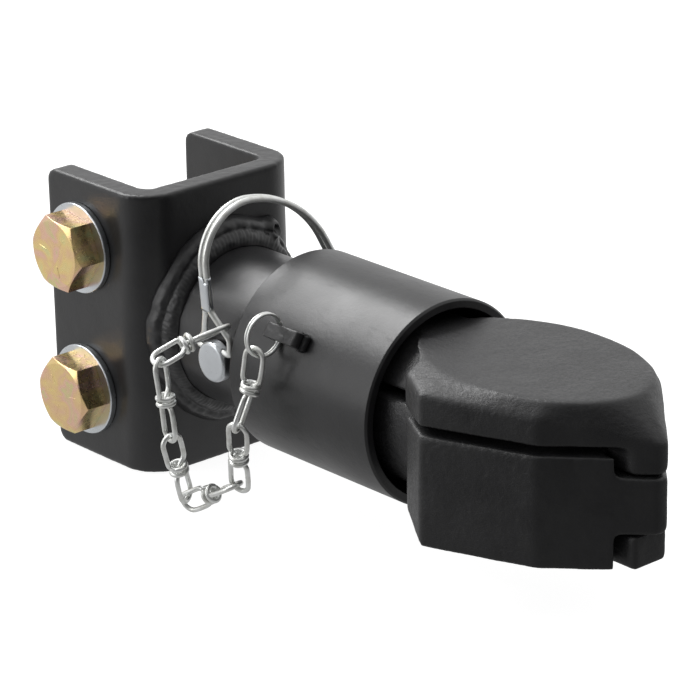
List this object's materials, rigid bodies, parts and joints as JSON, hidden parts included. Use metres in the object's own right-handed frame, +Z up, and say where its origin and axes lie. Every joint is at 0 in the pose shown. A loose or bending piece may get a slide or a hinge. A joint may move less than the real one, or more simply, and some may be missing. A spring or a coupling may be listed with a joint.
{
  "type": "channel-mount ball coupler",
  "caption": "Sleeve-lock trailer ball coupler with a channel bracket, side-opening jaw, sliding sleeve and a lock pin on a double-loop lanyard chain.",
  "frame": {"origin": "centre of the two tongue bolts' pattern, on the coupler's middle plane", "axes": "+X forward from the channel to the coupler's nose, +Z up, +Y to the coupler's right-hand side; the jaw and the lock pin's head are on the left, at -Y"},
  "size_m": [0.2721, 0.1091, 0.1091],
  "materials": {
    "black_coated_steel": "semi-gloss powder coat",
    "painted_weld": "semi-gloss powder coat over a weld bead",
    "black_painted_casting": "black paint over a cast surface",
    "yellow_zinc": "yellow zinc plating, iridescent",
    "bright_zinc": "bright zinc plating",
    "bright_wire": "bright plated wire"
  },
  "bodies": {
    "root": {"channel_bracket": "black_coated_steel", "shank_tube": "black_coated_steel", "tube_weld": "painted_weld", "main_casting": "black_painted_casting", "jaw_hinge_pin": "black_coated_steel", "tongue_bolts": "yellow_zinc", "head_washers": "bright_zinc", "tongue_nuts": "yellow_zinc", "split_ring": "bright_wire", "chain_link_1": "bright_wire", "chain_link_2": "bright_wire", "chain_link_3": "bright_wire", "chain_link_4": "bright_wire", "chain_link_5": "bright_wire", "chain_link_6": "bright_wire"},
    "sleeve": {"locking_sleeve": "black_coated_steel", "lanyard_strap": "black_coated_steel", "strap_weld": "painted_weld"},
    "jaw": {"side_jaw": "black_painted_casting"},
    "pin": {"lock_pin": "bright_zinc", "pin_head": "bright_zinc"},
    "bail": {"pin_bail": "bright_wire", "bail_ferrule": "bright_zinc"}
  },
  "joints": [
    {"name": "sleeve_slide", "type": "slide", "parent": "root", "child": "sleeve", "axis": [1, 0, 0], "range_m": [-0.004, 0]},
    {"name": "jaw_swing", "type": "hinge", "parent": "root", "child": "jaw", "pos_m": [0.2412, 0, 0], "axis": [0, 0, 1], "range_deg": [0, 0.45]},
    {"name": "pin_pull", "type": "slide", "parent": "root", "child": "pin", "axis": [0, -1, 0], "range_m": [0, 0.07], "deforming": ["chain_link_1", "chain_link_2", "chain_link_3", "chain_link_4", "chain_link_5", "chain_link_6"]},
    {"name": "bail_swing", "type": "hinge", "parent": "pin", "child": "bail", "pos_m": [0.0667, -0.031, 0.0045], "axis": [1, 0, 0], "range_deg": [0, 100]}
  ],
  "couplings": [
    {"joint": "bail_swing", "follows": "pin_pull", "rad_per_m": 24.93}
  ]
}
